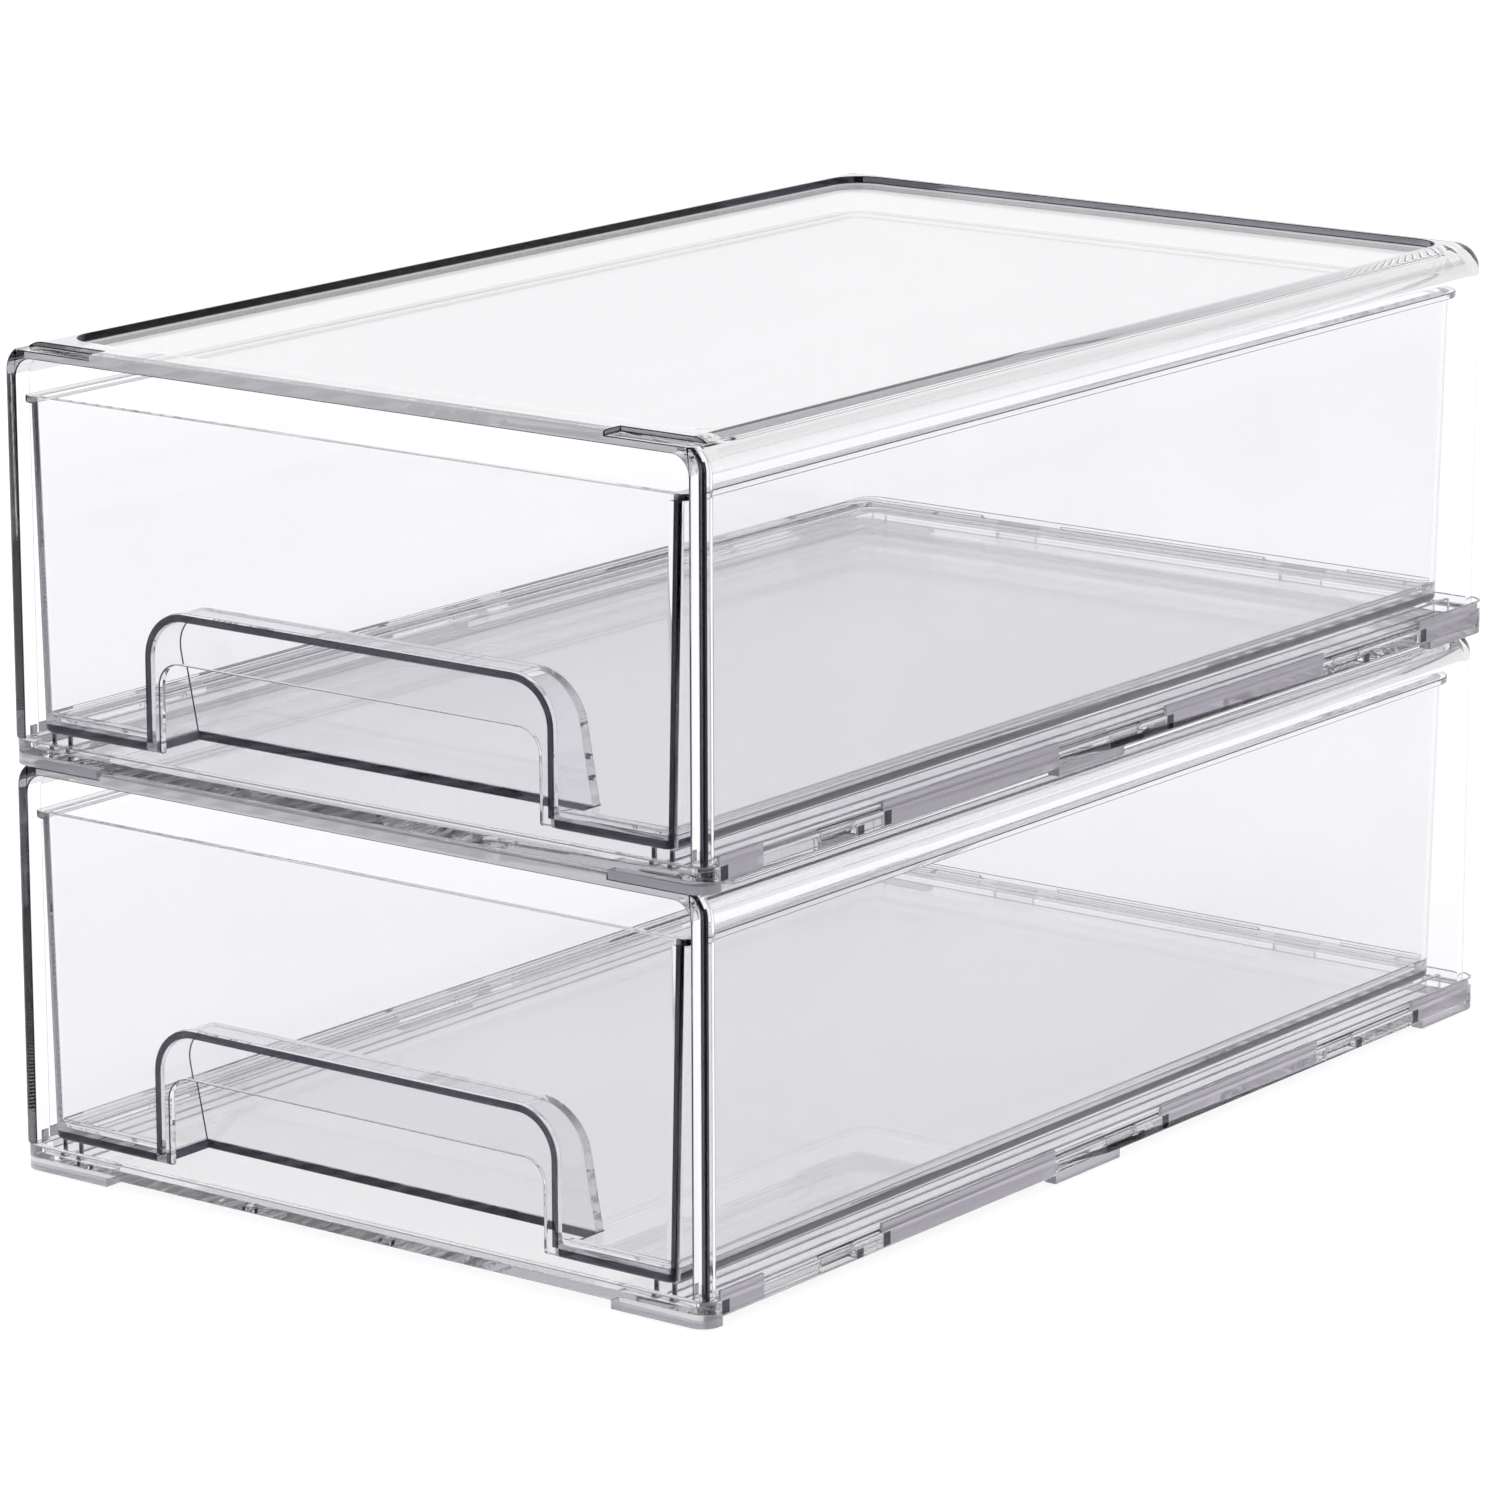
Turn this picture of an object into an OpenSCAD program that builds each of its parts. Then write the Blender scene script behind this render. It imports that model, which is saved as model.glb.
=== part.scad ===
// Two stacked clear refrigerator bins. Each tier is a base, a sleeve-like housing
// that snaps onto the base, and a pull-out drawer with a recessed finger pull.
// Frame: +Z up, front of the bins towards -Y, origin at the bottom centre.

/* [Housing] */
// Width of the housing at its open front
housing_w = 210; // [160:1:300]
// Depth of the housing, front to back
housing_d = 335.4; // [240:0.1:420]
// Height of one tier, from its feet to the rim of its top
tier_h = 103.1; // [80:0.1:160]
// How much each side narrows from the front to the back
side_taper = 1.8; // [0:0.1:3]
// Thickness of the side, back and top walls
housing_wall = 2.2; // [1.4:0.1:3]
// Radius of the long top edges and of the back edges
shoulder_r = 6.5; // [5:0.1:12]
// Width of the thicker frame around the front opening
frame_w = 3.8; // [3.2:0.1:5]
// Height of that frame above the opening
frame_h = 3.2; // [2.6:0.1:5]
// Length of that frame, front to back
frame_l = 5; // [3:0.1:10]

/* [Housing top] */
// Depth of the recessed panel below the rim
recess_h = 1.9; // [1:0.1:2.5]
// Distance from the housing's sides and back to the recess
recess_side = 8; // [7:0.1:20]
// Distance from the housing's front to the recess
recess_front = 12; // [6:0.1:30]
// Corner radius of the recess
recess_r = 9; // [2:0.5:20]
// How deep the feet of the tier above sit in the rim
nest_h = 1.3; // [0.5:0.1:1.8]

/* [Base] */
// Base edge beyond the housing, on each side
base_lip = 0.9; // [0.8:0.1:3]
// Base edge beyond the housing's front
base_front_lip = 0.5; // [0.2:0.1:3]
// Base edge beyond the housing's back
base_back_lip = 1.3; // [1:0.1:4]
// Corner radius of the base in plan
base_r = 5; // [3:0.1:12]
// Thickness of the base plate
plate_t = 2.2; // [1.4:0.1:4]
// Height of the curb that carries the housing, above the plate's underside
curb_h = 4.2; // [3.4:0.1:8]
// Width of the curb at the sides and back
curb_w = 5; // [4.6:0.1:8]
// Thickness of the curb's front wall
apron_t = 2; // [1.2:0.1:4]
// Height of the lugs that wrap the housing's lower edge
lug_h = 1.8; // [0.8:0.1:4]
// Thickness of those lugs
lug_t = 0.8; // [0.5:0.1:0.8]
// Length of each lug along the sides
lug_len = 72; // [30:1:80]
// Height of the feet below the plate
foot_h = 2.2; // [1.4:0.1:6]
// Length of each foot along the base's edge
foot_len = 28; // [10:1:40]
// Width of the front feet
foot_w = 6; // [4:0.1:7]
// Width of the feet along the sides and at the back corners
side_foot_w = 3.4; // [2:0.1:3.4]

/* [Snap tongues] */
// Length of the housing's snap tongues
tongue_len = 13; // [6:0.5:20]
// How far the tongues reach into the base
tongue_h = 3.2; // [1.5:0.1:4]
// Distance from the middle of the housing's sides to the front tongues
tongue_pitch = 118; // [60:1:125]
// Distance from the middle of the housing's sides to the rear tongues
rear_tongue_y = 101; // [60:1:125]
// Distance from the middle of the housing's back to its tongues
back_tongue_x = 46; // [25:1:70]

/* [Drawer] */
// Clearance between the drawer's rolled edge and the front frame
drawer_side_gap = 1.3; // [0.6:0.1:3]
// Clearance between the drawer and the housing's back
drawer_back_gap = 1.7; // [0.6:0.1:6]
// Clearance between the drawer and the rails under it
drawer_bottom_gap = 0.2; // [0.1:0.05:1]
// Gap between the drawer's rim and the front frame above it
drawer_top_gap = 9; // [3:0.1:30]
// Thickness of the drawer's walls
drawer_wall = 2.2; // [1.4:0.1:3]
// Thickness of the drawer's floor
drawer_floor = 2.4; // [1.4:0.1:4]
// How much each side leans in towards the floor
drawer_lean = 2.1; // [0:0.1:6]
// Distance that the drawer's front sits behind the housing's front
drawer_set_back = 0.4; // [0:0.1:3]
// Corner radius at the drawer's back
drawer_r = 7; // [4:0.5:20]
// Corner radius at the drawer's front
drawer_front_r = 2.5; // [2.4:0.1:8]
// Width of the edge that turns out around the drawer's rim
edge_w = 1.9; // [0.8:0.1:4]
// Thickness of that edge
edge_t = 1.6; // [0.8:0.1:3]

/* [Rails] */
// Distance from the curb to the outer rail
rail_gap = 5; // [2:0.1:12]
// Distance between the two rails on each side
rail_pitch = 5.2; // [3:0.1:12]
// Thickness of each rail
rail_t = 1.5; // [1:0.1:3]
// Height of the rails above the plate
rail_h = 4.3; // [2.2:0.1:10]

/* [Finger pull] */
// Width of the pocket behind the finger pull
pocket_w = 124; // [60:1:150]
// Height of the pocket above the drawer's underside
pocket_h = 35; // [20:0.5:60]
// Corner radius of the pocket
pocket_r = 12; // [4:0.5:20]
// Depth of the pocket at its top
pocket_top_d = 11; // [8:0.5:25]
// Depth of the pocket at its open bottom
pocket_bottom_d = 18.5; // [8:0.5:30]
// Thickness of the pocket's walls
pocket_wall = 1.8; // [1.2:0.1:3]
// Height of the lip that the fingers pull on
lip_h = 12.5; // [6:0.5:25]
// Width of the lip's two legs
lip_side = 4.3; // [2.5:0.1:12]
// Corner radius of the opening under the lip
window_r = 6; // [2:0.5:15]

/* [Hidden] */

arc_steps = 10;
hull_fn = 32;
cut = 1;
seat_gap = 0.1;
tongue_gap = 0.6;
tongue_t = 1.4;
slot_floor = 0.6;
latch_h = 1.9;
pad_gap = 0.4;
thin = 0.01;

base_d = base_front_lip + housing_d + base_back_lip;
front_y = -base_d / 2 + base_front_lip;
back_y = front_y + housing_d;
base_front_y = -base_d / 2;
base_back_y = base_d / 2;
tier_pitch = tier_h - nest_h + seat_gap;

plate_z = foot_h;
plate_top = plate_z + plate_t;
curb_top = plate_z + curb_h;
slot_z = plate_z + slot_floor;
housing_z = curb_top + seat_gap;
rail_top = plate_top + rail_h;
recess_z = tier_h - recess_h;
panel_z = recess_z - housing_wall;
opening_top = tier_h - frame_h;

drawer_z = rail_top + drawer_bottom_gap;
drawer_top = opening_top - drawer_top_gap;
drawer_front_y = front_y + drawer_set_back;
drawer_back_y = back_y - housing_wall - drawer_back_gap;
edge_half = housing_w / 2 - frame_w - drawer_side_gap;
pocket_top = drawer_z + pocket_h;
window_top = pocket_top - lip_h;
pocket_reach = 60;

middle_shift = -6;
lug_pitch = tongue_pitch;
lug_mid = [-lug_pitch / 2 + middle_shift, lug_pitch / 2 + middle_shift];
front_lug_len = lug_mid[0] - lug_len / 2 - (lug_pitch - lug_len) - base_front_y;
back_lug_len = base_back_y - (lug_mid[1] + lug_len / 2 + (lug_pitch - lug_len));
tongue_ys = [-tongue_pitch, 0, rear_tongue_y];
mid_foot_y = middle_shift - (lug_pitch - lug_len) / 2 + foot_len / 2;
back_lug_half = back_tongue_x - tongue_len;

// Half width of the housing at a place along its depth
function housing_half(y) = housing_w / 2 - side_taper * (y - front_y) / housing_d;

// One rounded corner as points, from angle a0, turning anticlockwise by 90 degrees
function corner(x, y, r, a0) =
    [for (i = [0 : arc_steps]) [x + r * cos(a0 + 90 * i / arc_steps),
                                y + r * sin(a0 + 90 * i / arc_steps)]];

// Tapered plan outline with rounded corners: half widths at the front and the back
function plan(half_f, half_b, y0, y1, rf, rb) = concat(
    corner(half_b - rb, y1 - rb, rb, 0),
    corner(-half_b + rb, y1 - rb, rb, 90),
    corner(-half_f + rf, y0 + rf, rf, 180),
    corner(half_f - rf, y0 + rf, rf, 270));

// Plan outline of the base, moved in from its edge
module base_plan(inset = 0, front_inset = 0, r = base_r) {
    polygon(plan(housing_half(base_front_y) + base_lip - inset,
                 housing_half(base_back_y) + base_lip - inset,
                 base_front_y + front_inset, base_back_y - inset, r, r));
}

// Upright slab between two heights
module slab(z0, z1) {
    translate([0, 0, z0]) linear_extrude(z1 - z0) children();
}

// Strip along both sides of a piece, between two places along its depth
module side_strips(y0, y1, z0, z1, half = housing_w) {
    for (side = [-1, 1])
        translate([side > 0 ? 0 : -half, y0, z0]) cube([half, y1 - y0, z1 - z0]);
}

// Front feet at both corners, or with a gap the notches that they sit in
module front_feet(z0, z1, gap = 0) {
    reach = foot_len + gap;
    half = housing_half(base_front_y) + base_lip;
    intersection() {
        slab(z0, z1) base_plan();
        for (side = [-1, 1])
            translate([side > 0 ? half - reach : -half, base_front_y, z0])
                cube([reach, foot_w + gap, z1 - z0]);
    }
}

// Narrow feet along the sides and round the back corners, outside the rounded shoulders below
module side_feet(z0, z1) {
    half = housing_half(base_back_y) + base_lip;
    intersection() {
        slab(z0, z1) difference() {
            base_plan();
            base_plan(side_foot_w, side_foot_w, base_r - side_foot_w);
        }
        union() {
            side_strips(mid_foot_y - foot_len / 2, mid_foot_y + foot_len / 2, z0, z1);
            for (side = [-1, 1])
                translate([side > 0 ? half - foot_len : -half, base_back_y - foot_len, z0])
                    cube([foot_len, foot_len, z1 - z0]);
        }
    }
}

// Snap tongues along both sides, or with grow the slots that they enter
module side_tongues(t, len, z0, z1, grow = 0) {
    for (side = [-1, 1], y = tongue_ys)
        translate([side * (housing_half(y) - housing_wall / 2) - t / 2 - grow, y - len / 2 - grow, z0])
            cube([t + 2 * grow, len + 2 * grow, z1 - z0]);
}

module back_tongues(t, len, z0, z1, grow = 0) {
    for (side = [-1, 1])
        translate([side * back_tongue_x - len / 2 - grow, back_y - housing_wall / 2 - t / 2 - grow, z0])
            cube([len + 2 * grow, t + 2 * grow, z1 - z0]);
}

// Windows in the base's edge that show the side tongues
module latch_windows() {
    for (y = tongue_ys)
        side_strips(y - tongue_len / 2, y + tongue_len / 2, slot_z, slot_z + latch_h);
}

// Lugs that rise from the base's edge outside the housing
module lugs() {
    intersection() {
        slab(curb_top - thin, curb_top + lug_h) difference() {
            base_plan();
            base_plan(lug_t, -cut, base_r - lug_t);
        }
        union() {
            for (y = lug_mid)
                side_strips(y - lug_len / 2, y + lug_len / 2, 0, tier_h);
            side_strips(base_front_y + base_r, base_front_y + front_lug_len, 0, tier_h);
            side_strips(base_back_y - back_lug_len, base_back_y - base_r, 0, tier_h);
            translate([-back_lug_half, back_y - housing_wall, 0])
                cube([2 * back_lug_half, housing_wall + base_back_lip + cut, tier_h]);
            corner_back_lugs();
        }
    }
}

module corner_back_lugs() {
    start = back_tongue_x + tongue_len;
    for (side = [-1, 1])
        translate([side > 0 ? start : -housing_w, back_y - shoulder_r, 0])
            cube([housing_w - start, shoulder_r + base_back_lip + cut, tier_h]);
}

// Rails that the drawer slides on
module rails() {
    outer = housing_half(base_back_y) + base_lip - curb_w - rail_gap;
    rail_y0 = base_front_y + apron_t + cut;
    rail_y1 = base_back_y - curb_w - cut;
    for (side = [-1, 1], k = [0, 1])
        translate([side * (outer - k * rail_pitch) - rail_t / 2, rail_y0, plate_top - thin])
            cube([rail_t, rail_y1 - rail_y0, rail_h + thin]);
}

module base() {
    difference() {
        union() {
            slab(plate_z, plate_top) base_plan();
            slab(plate_z, curb_top) difference() {
                base_plan();
                base_plan(curb_w, apron_t, base_r / 2);
            }
            front_feet(0, plate_z + thin);
            side_feet(0, plate_z + thin);
            lugs();
            rails();
        }
        side_tongues(tongue_t, tongue_len, slot_z, tier_h, tongue_gap / 2);
        back_tongues(tongue_t, tongue_len, slot_z, tier_h, tongue_gap / 2);
        difference() {
            latch_windows();
            slab(0, tier_h) base_plan(base_lip + housing_wall / 2, base_lip + housing_wall / 2);
        }
    }
}

// Upright outline with rounded upper corners, standing across the bin
module arch(half, bottom, top, r, y0, y1, fn = 48) {
    translate([0, y1, 0]) rotate([90, 0, 0]) linear_extrude(y1 - y0) union() {
        translate([-half, bottom]) square([2 * half, top - r - bottom]);
        translate([-half + r, bottom]) square([2 * (half - r), top - bottom]);
        for (side = [-1, 1])
            translate([side * (half - r), top - r]) circle(r, $fn = fn);
    }
}

// Sleeve shape: a profile at the front, rounded edges at the back
module sleeve(inset, top, y0, y1, r, z0) {
    hf = housing_half(y0) - inset;
    hb = housing_half(y1) - inset;
    hull() {
        arch(hf, z0, top, r, y0, y0 + thin, hull_fn);
        for (side = [-1, 1]) {
            translate([side * (hb - r), y1 - r, z0])
                cylinder(top - r - z0, r, r, $fn = hull_fn);
            translate([side * (hb - r), y1 - r, top - r])
                sphere(r, $fn = hull_fn);
        }
    }
}

module opening() {
    arch(housing_w / 2 - frame_w, -cut, opening_top, shoulder_r - frame_w + cut,
         front_y - cut, front_y + frame_l + cut);
}

module recess_plan() {
    polygon(plan(housing_half(front_y) - recess_side, housing_half(back_y) - recess_side,
                 front_y + recess_front, back_y - recess_side, recess_r, recess_r));
}

module housing() {
    difference() {
        sleeve(0, tier_h, front_y, back_y, shoulder_r, housing_z);
        sleeve(housing_wall, panel_z, front_y + frame_l, back_y - housing_wall,
               shoulder_r - housing_wall, housing_z - cut);
        opening();
        slab(recess_z, tier_h + cut) recess_plan();
        front_feet(tier_h - nest_h, tier_h + cut, pad_gap);
    }
    side_tongues(tongue_t, tongue_len, housing_z - tongue_h, housing_z + thin);
    back_tongues(tongue_t, tongue_len, housing_z - tongue_h, housing_z + thin);
}

// Half width of the drawer's body at a height, at its front
function drawer_half(z) = edge_half - edge_w - drawer_lean * (drawer_top - z) / (drawer_top - drawer_z);

module drawer_layer(z, inset, half) {
    rf = max(drawer_front_r - inset, 0.3);
    rb = drawer_r - inset;
    translate([0, 0, z]) linear_extrude(thin)
        polygon(plan(half - inset, half - inset - side_taper, drawer_front_y + inset,
                     drawer_back_y - edge_w - inset, rf, rb));
}

module tray(inset, z0, z1) {
    hull() {
        drawer_layer(z0, inset, drawer_half(z0));
        drawer_layer(z1 - thin, inset, drawer_half(z1));
    }
}

// Plate around the drawer's rim, which the inside is cut from
module rim_plate() {
    slab(drawer_top - edge_t, drawer_top)
        polygon(plan(edge_half, edge_half - side_taper, drawer_front_y, drawer_back_y,
                     drawer_front_r, drawer_r + edge_w));
}

// Wedge behind the drawer's front, deeper at the bottom than at the top
module pocket_wedge(y0, back_shift, z0, z1) {
    slope = (pocket_bottom_d - pocket_top_d) / pocket_h;
    bottom_y = drawer_front_y + pocket_bottom_d + back_shift + slope * (drawer_z - z0);
    top_y = drawer_front_y + pocket_bottom_d + back_shift - slope * (z1 - drawer_z);
    translate([-housing_w / 2, 0, 0]) rotate([90, 0, 90]) linear_extrude(housing_w)
        polygon([[y0, z0], [bottom_y, z0], [top_y, z1], [y0, z1]]);
}

module pocket_shell() {
    z0 = drawer_z + drawer_floor / 2;
    y0 = drawer_front_y + drawer_wall / 2;
    intersection() {
        arch(pocket_w / 2, z0, pocket_top, pocket_r, y0, y0 + pocket_reach);
        pocket_wedge(y0 - cut, 0, z0 - cut, pocket_top + cut);
    }
}

module pocket_space() {
    y0 = drawer_front_y + drawer_wall;
    intersection() {
        arch(pocket_w / 2 - pocket_wall, drawer_z - cut, pocket_top - pocket_wall,
             pocket_r - pocket_wall, y0, y0 + pocket_reach);
        pocket_wedge(y0 - cut, -pocket_wall, drawer_z - 2 * cut, pocket_top);
    }
}

module drawer() {
    difference() {
        union() {
            difference() {
                union() {
                    tray(0, drawer_z, drawer_top - edge_t / 2);
                    rim_plate();
                }
                tray(drawer_wall, drawer_z + drawer_floor, drawer_top + cut);
            }
            pocket_shell();
        }
        pocket_space();
        arch(pocket_w / 2 - lip_side, drawer_z - cut, window_top, window_r,
             drawer_front_y - cut, drawer_front_y + drawer_wall + cut);
    }
}

module lower_base() {
    color("lavender") base();
}

module lower_housing() {
    color("aliceblue") housing();
}

module lower_drawer() {
    color("lightsteelblue") drawer();
}

module upper_base() {
    color("lavender") translate([0, 0, tier_pitch]) base();
}

module upper_housing() {
    color("aliceblue") translate([0, 0, tier_pitch]) housing();
}

module upper_drawer() {
    color("lightsteelblue") translate([0, 0, tier_pitch]) drawer();
}

lower_base();
lower_housing();
lower_drawer();
upper_base();
upper_housing();
upper_drawer();
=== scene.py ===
import math
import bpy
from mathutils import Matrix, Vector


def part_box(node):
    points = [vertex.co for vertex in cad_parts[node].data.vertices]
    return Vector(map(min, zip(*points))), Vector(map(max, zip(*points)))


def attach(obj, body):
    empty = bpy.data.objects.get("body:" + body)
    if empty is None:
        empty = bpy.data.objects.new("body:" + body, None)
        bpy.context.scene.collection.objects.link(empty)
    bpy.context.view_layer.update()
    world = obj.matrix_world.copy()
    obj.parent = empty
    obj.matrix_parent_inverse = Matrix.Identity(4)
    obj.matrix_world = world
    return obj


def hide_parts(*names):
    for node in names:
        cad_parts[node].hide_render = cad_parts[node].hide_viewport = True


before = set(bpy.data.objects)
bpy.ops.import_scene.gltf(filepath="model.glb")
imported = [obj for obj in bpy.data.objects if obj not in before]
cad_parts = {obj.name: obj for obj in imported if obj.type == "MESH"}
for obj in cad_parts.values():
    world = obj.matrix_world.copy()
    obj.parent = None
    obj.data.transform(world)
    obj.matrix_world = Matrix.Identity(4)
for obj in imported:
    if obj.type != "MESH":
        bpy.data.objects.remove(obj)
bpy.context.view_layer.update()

from types import SimpleNamespace

import bmesh
import bpy
from mathutils import Matrix, Vector

bl_info = {
    "name": "Clear fridge bin",
    "version": (1, 0, 0),
    "blender": (4, 5, 0),
    "location": "View3D > Sidebar > Fridge bin",
    "description": "Builds two stacked clear pull-out refrigerator bins round a fixed frame",
    "category": "Add Mesh",
}

MM = 0.001
TIERS = ("lower", "upper")

# Faces that meet at less than about 50 degrees are smoothed into each other
SMOOTH_COSINE = 0.64
TINY = 1e-12

# In millimetres: how near to a cutting plane counts as on it, and the shortest edge kept after rounding
ON_PLANE = 0.0005
SHORTEST_EDGE = 0.002

# Edges sharper than this many degrees are rounded
SHARP_ANGLE = 40

# How much of the frame's front rounding its top edge has
TOP_SHARE = 0.35

# The finishes that every piece carries, and their slots in this order: plain faces, painted shade on
# edges, painted shade on lugs and feet, painted light on the top panel's front edge
FACE, PAINTED_EDGE_SHADE, SHADE, PAINTED_RIM_LIGHT = 0, 1, 2, 3
FINISHES = ("clear_styrene_face", "clear_styrene_painted_edge_shade", "clear_styrene_painted_lug_shade", "clear_styrene_painted_rim_light")

# Clear styrene: its IOR, how fast it takes on its body tint per metre, and its head-on gloss
STYRENE_IOR = 1.57
BODY_DENSITY = 2.5
GLOSS_TINT = (0.15, 0.15, 0.16, 1.0)

# In metres: the size of the flow streaks, of the scuffs and of the waves
FLOW_SIZE = 0.045
SCUFF_SIZE = 0.002
WAVE_SIZE = 0.06

# The stage, in metres and degrees: a pale floor that glows a little, even light and a long lens
FLOOR_SIZE = 8
FLOOR_DROP = 0.0005
FLOOR_GREY = 0.25
FLOOR_GLOW = 0.85
STUDIO_LIGHT = 0.9
CAMERA_TARGET = (0.00398, -0.0181, 0.0917)
CAMERA_DISTANCE = 1.7026
CAMERA_AZIMUTH, CAMERA_ELEVATION, CAMERA_ROLL = 37.26, 13.71, -0.14
CAMERA_LENS, CAMERA_SENSOR = 163.87, 36

# Light crosses many walls and is led along the panels, so it needs this many bounces
BOUNCES = 128


def frame_sizes():
    """Sizes that the frame itself gives, in millimetres."""
    base_low, base_high = (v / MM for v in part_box("lower_base"))
    house_low, house_high = (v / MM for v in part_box("lower_housing"))
    drawer_low, drawer_high = (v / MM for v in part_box("lower_drawer"))
    return SimpleNamespace(
        base_half=base_high.x,
        base_front=base_low.y,
        base_back=base_high.y,
        lug_top=base_high.z,
        half=house_high.x,
        front=house_low.y,
        back=house_high.y,
        tongue_bottom=house_low.z,
        top=house_high.z,
        rim_half=drawer_high.x,
        drawer_front=drawer_low.y,
        drawer_back=drawer_high.y,
        drawer_bottom=drawer_low.z,
        drawer_top=drawer_high.z,
        pitch=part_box("upper_base")[0].z / MM,
    )


def length(name, text, millimetres):
    """A length property that is given here in millimetres."""
    return bpy.props.FloatProperty(
        name=name, description=text, default=millimetres * MM, min=0.0, unit="LENGTH", precision=5
    )


def linear(code):
    """An sRGB hex colour as linear red, green and blue."""
    parts = [int(code[i : i + 2], 16) / 255 for i in (1, 3, 5)]
    return [c / 12.92 if c <= 0.04045 else ((c + 0.055) / 1.055) ** 2.4 for c in parts]


def colour(name, text, code):
    """A colour property that is given here as an sRGB hex value."""
    return bpy.props.FloatVectorProperty(
        name=name, description=text, default=linear(code), size=3, min=0.0, max=1.0, subtype="COLOR"
    )


class HousingSizes(bpy.types.PropertyGroup):
    """Sizes of the sleeve that the drawer slides in."""

    wall: length("Wall", "Thickness of the sides, back and top", 2.2)
    taper: length("Taper", "How much each side narrows from front to back", 1.8)
    shoulder: length("Shoulder radius", "Radius of the long top edges and the back edges", 7.0)
    frame_width: length("Frame width", "Width of the frame round the opening", 3.8)
    frame_height: length("Frame height", "Height of the frame above the opening", 3.2)
    frame_depth: length("Frame depth", "Depth of the frame round the opening", 5.0)
    opening_radius: length("Opening radius", "Radius of the opening's upper corners", 5.0)
    front_round: length("Front rounding", "Radius of the frame's outer front edge", 1.7)
    recess_depth: length("Recess depth", "Depth of the panel sunk in the top", 1.9)
    recess_side: length("Recess margin", "Rim left at the sides and back of the top", 8.0)
    recess_front: length("Recess front margin", "Rim left at the front of the top", 12.0)
    recess_radius: length("Recess radius", "Corner radius of the recess", 9.0)
    nest: length("Nesting", "How deep the feet of the tier above sit in the rim", 1.3)
    seat: length("Seat gap", "Gap between the housing and the curb under it", 0.1)
    tongue_thickness: length("Tongue thickness", "Thickness of the snap tongues", 1.4)
    tongue_length: length("Tongue length", "Length of the snap tongues", 13.0)
    tongue_pitch: length("Tongue pitch", "From the middle of a side to its front tongue", 118.0)
    rear_tongue: length("Rear tongue place", "From the middle of a side to its rear tongue", 101.0)
    back_tongue: length("Back tongue place", "Distance from the middle to the back tongues", 46.0)


class BaseSizes(bpy.types.PropertyGroup):
    """Sizes of the footed base."""

    radius: length("Corner radius", "Corner radius in plan", 5.0)
    foot: length("Foot height", "Height of the feet under the plate", 2.2)
    foot_length: length("Foot length", "Length of a foot along the edge", 28.0)
    foot_width: length("Front foot width", "Width of the two front feet", 6.0)
    side_foot_width: length("Side foot width", "Width of the feet at the sides and back corners", 3.4)
    plate: length("Plate", "Thickness of the plate", 2.2)
    curb: length("Curb height", "Height of the curb from the plate's underside", 4.2)
    curb_width: length("Curb width", "Width of the curb at the sides and back", 5.0)
    apron: length("Apron", "Thickness of the curb's front wall", 2.0)
    lug: length("Lug thickness", "Thickness of the lugs outside the housing", 0.8)
    lug_length: length("Lug length", "Length of a lug along a side", 72.0)
    shift: length("Lug shift", "How far the lugs sit forward of the middle", 6.0)
    rail: length("Rail thickness", "Thickness of a rail under the drawer", 1.5)
    rail_height: length("Rail height", "Height of the rails above the plate", 4.3)
    rail_gap: length("Rail gap", "Distance from the curb to the outer rail", 5.0)
    rail_pitch: length("Rail pitch", "Distance between the two rails of a pair", 5.2)
    slot_play: length("Slot play", "Play round a snap tongue in its slot", 0.3)
    slot_floor: length("Slot floor", "Thickness left under a slot", 0.6)
    latch: length("Latch window", "Height of the window that shows a side tongue", 1.9)


class DrawerSizes(bpy.types.PropertyGroup):
    """Sizes of the pull-out tray and its finger pull."""

    wall: length("Wall", "Thickness of the walls", 2.2)
    floor: length("Floor", "Thickness of the floor", 2.4)
    lean: length("Lean", "How much each side leans in towards the floor", 2.1)
    back_radius: length("Back radius", "Corner radius at the back", 7.0)
    front_radius: length("Front radius", "Corner radius at the front", 2.5)
    bottom_round: length("Bottom rounding", "Outer radius of the edge round the floor", 1.2)
    inner_round: length("Inner rounding", "Inner radius where the floor meets the walls", 3.0)
    rim: length("Rim width", "Width of the edge that turns out round the rim", 1.9)
    rim_thickness: length("Rim thickness", "Thickness of that edge", 1.6)
    pocket_half: length("Pocket half width", "Half the width of the finger pocket", 62.0)
    pocket_height: length("Pocket height", "Height of the pocket above the underside", 35.0)
    pocket_radius: length("Pocket radius", "Radius of the pocket's upper corners", 12.0)
    pocket_top_depth: length("Pocket top depth", "Depth of the pocket at its top", 11.0)
    pocket_depth: length("Pocket depth", "Depth of the pocket at the bottom", 18.5)
    pocket_wall: length("Pocket wall", "Thickness of the pocket's walls", 1.8)
    lip: length("Lip height", "Height of the lip that the fingers pull on", 12.5)
    lip_leg: length("Lip legs", "Width of the lip's two legs", 4.3)
    window_radius: length("Window radius", "Radius of the opening under the lip", 6.0)


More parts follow.
